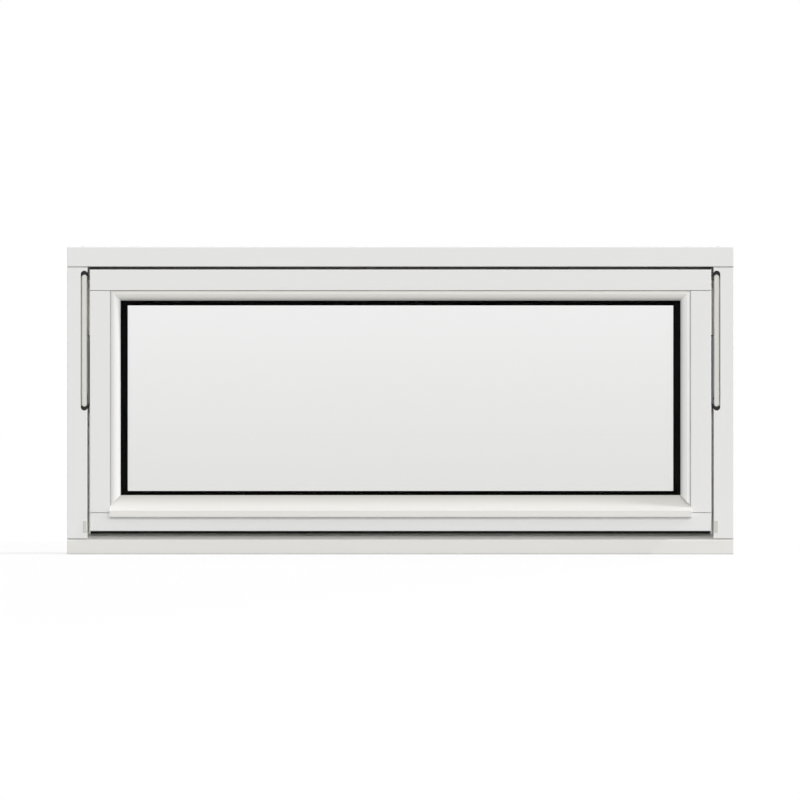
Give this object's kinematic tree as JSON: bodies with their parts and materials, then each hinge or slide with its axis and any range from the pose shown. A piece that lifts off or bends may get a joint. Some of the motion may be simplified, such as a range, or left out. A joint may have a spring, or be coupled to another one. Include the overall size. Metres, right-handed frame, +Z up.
{
  "type": "top guided awning window",
  "caption": "Wide, low outward opening awning window of white painted pine: rebated frame with side guide rails and stay arms, sash with moulded beads, a drip bead and sealed double glazing.",
  "frame": {"origin": "middle of the sill's underside, at half the frame's depth", "axes": "+X along the sill to the right seen from outside, -Y out of the building, +Z up"},
  "size_m": [1.188, 0.125, 0.548],
  "materials": {
    "painted_pine": "satin white factory paint on pine",
    "painted_bead": "satin white factory paint on moulded pine",
    "float_glass": "clear polished",
    "spacer": "matt black",
    "glazing_tape": "matt black",
    "setting_block": "matt black",
    "sill_seal": "matt black",
    "head_seal": "matt grey",
    "side_seal": "matt white",
    "guide_rail": "satin anodised",
    "rail_end_cap": "moulded black",
    "guide_block": "moulded",
    "slide_shoe": "moulded black",
    "black_steel": "black passivated",
    "zinc_steel": "zinc plated",
    "handle_metal": "satin anodised"
  },
  "bodies": {
    "root": {"frame_head": "painted_pine", "frame_sill": "painted_pine", "frame_jamb_left": "painted_pine", "frame_jamb_right": "painted_pine", "sash_top_rail": "painted_pine", "sash_bottom_rail": "painted_pine", "sash_stile_left": "painted_pine", "sash_stile_right": "painted_pine", "glazing_bead_top": "painted_bead", "glazing_bead_left": "painted_bead", "glazing_bead_right": "painted_bead", "drip_bead": "painted_bead", "outer_pane": "float_glass", "inner_pane": "float_glass", "spacer_bar": "spacer", "glazing_tape_outer": "glazing_tape", "glazing_tape_inner": "glazing_tape", "setting_blocks": "setting_block", "weather_seal_sill": "sill_seal", "weather_seal_head": "head_seal", "weather_seal_left": "side_seal", "weather_seal_right": "side_seal", "guide_rail_left": "guide_rail", "guide_rail_right": "guide_rail", "rail_end_caps_left": "rail_end_cap", "rail_end_caps_right": "rail_end_cap", "guide_block_left": "guide_block", "guide_block_right": "guide_block", "slide_shoe_left": "slide_shoe", "slide_shoe_right": "slide_shoe", "stay_arm_left": "black_steel", "stay_arm_right": "black_steel", "stay_plate_left": "zinc_steel", "stay_plate_right": "zinc_steel", "pivot_plate_left": "zinc_steel", "pivot_plate_right": "zinc_steel", "handle_rose": "handle_metal", "handle_lever": "handle_metal"}
  },
  "joints": []
}
